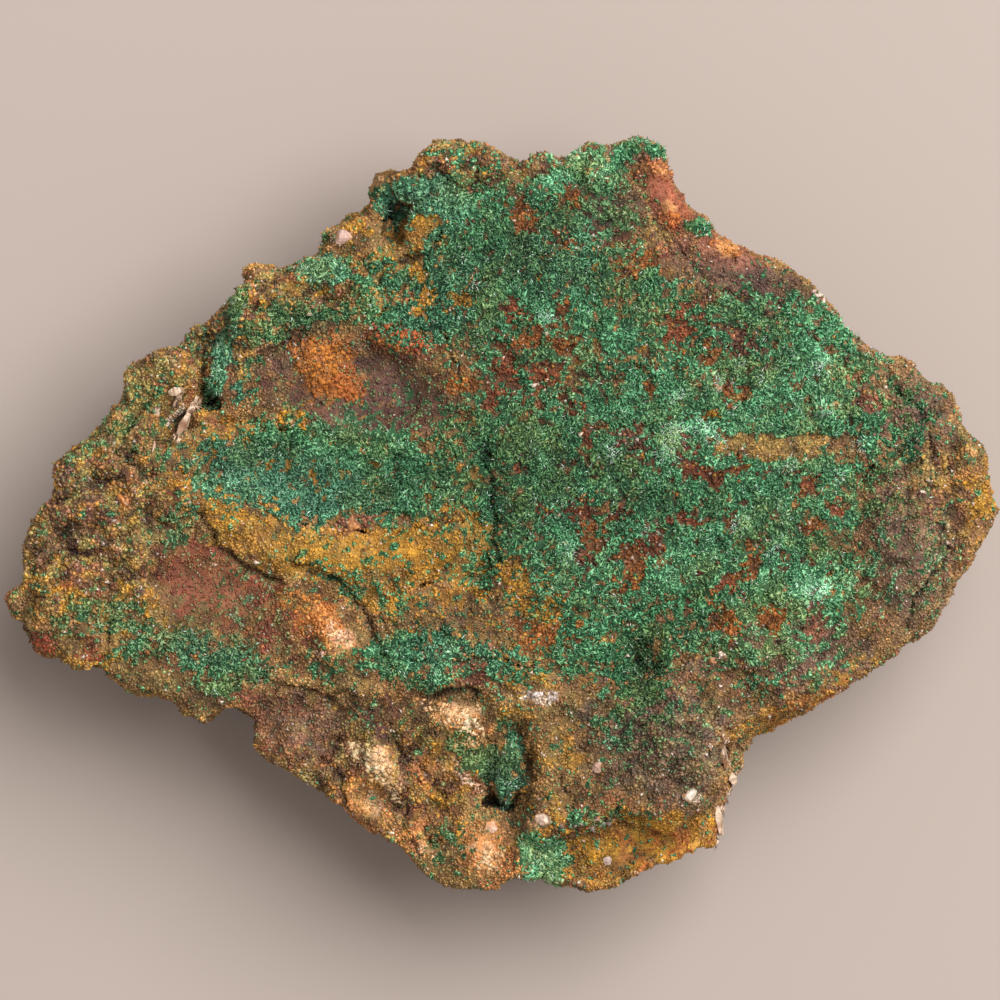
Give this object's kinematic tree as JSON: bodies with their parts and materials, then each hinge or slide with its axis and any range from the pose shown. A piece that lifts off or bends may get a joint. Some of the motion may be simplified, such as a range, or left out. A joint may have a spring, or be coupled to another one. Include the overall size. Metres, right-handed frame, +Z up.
{
  "type": "malachite specimen on rock",
  "caption": "Flat slab of iron-stained rock with a malachite crust grown over its upper face and thin white calcite blades set in its edges.",
  "frame": {"origin": "under the middle of the slab, on the surface that it lies on", "axes": "+X along the slab towards its blunt end, +Y across it towards its top corner, +Z up, out of the crusted face"},
  "size_m": [0.1142, 0.0882, 0.0255],
  "materials": {
    "iron_stained_rock": "rough granular limonite and hematite, ochre to red-brown",
    "malachite": "fine crystalline green crust with small bright needles",
    "calcite": "white, slightly glossy cleavage"
  },
  "bodies": {
    "root": {"matrix": "iron_stained_rock", "malachite_crust": "malachite", "calcite_blade_edge_upper": "calcite", "calcite_blade_edge_middle": "calcite", "calcite_blade_edge_lower": "calcite", "calcite_blade_hole_upper": "calcite", "calcite_blade_hole_lower": "calcite"}
  },
  "joints": []
}
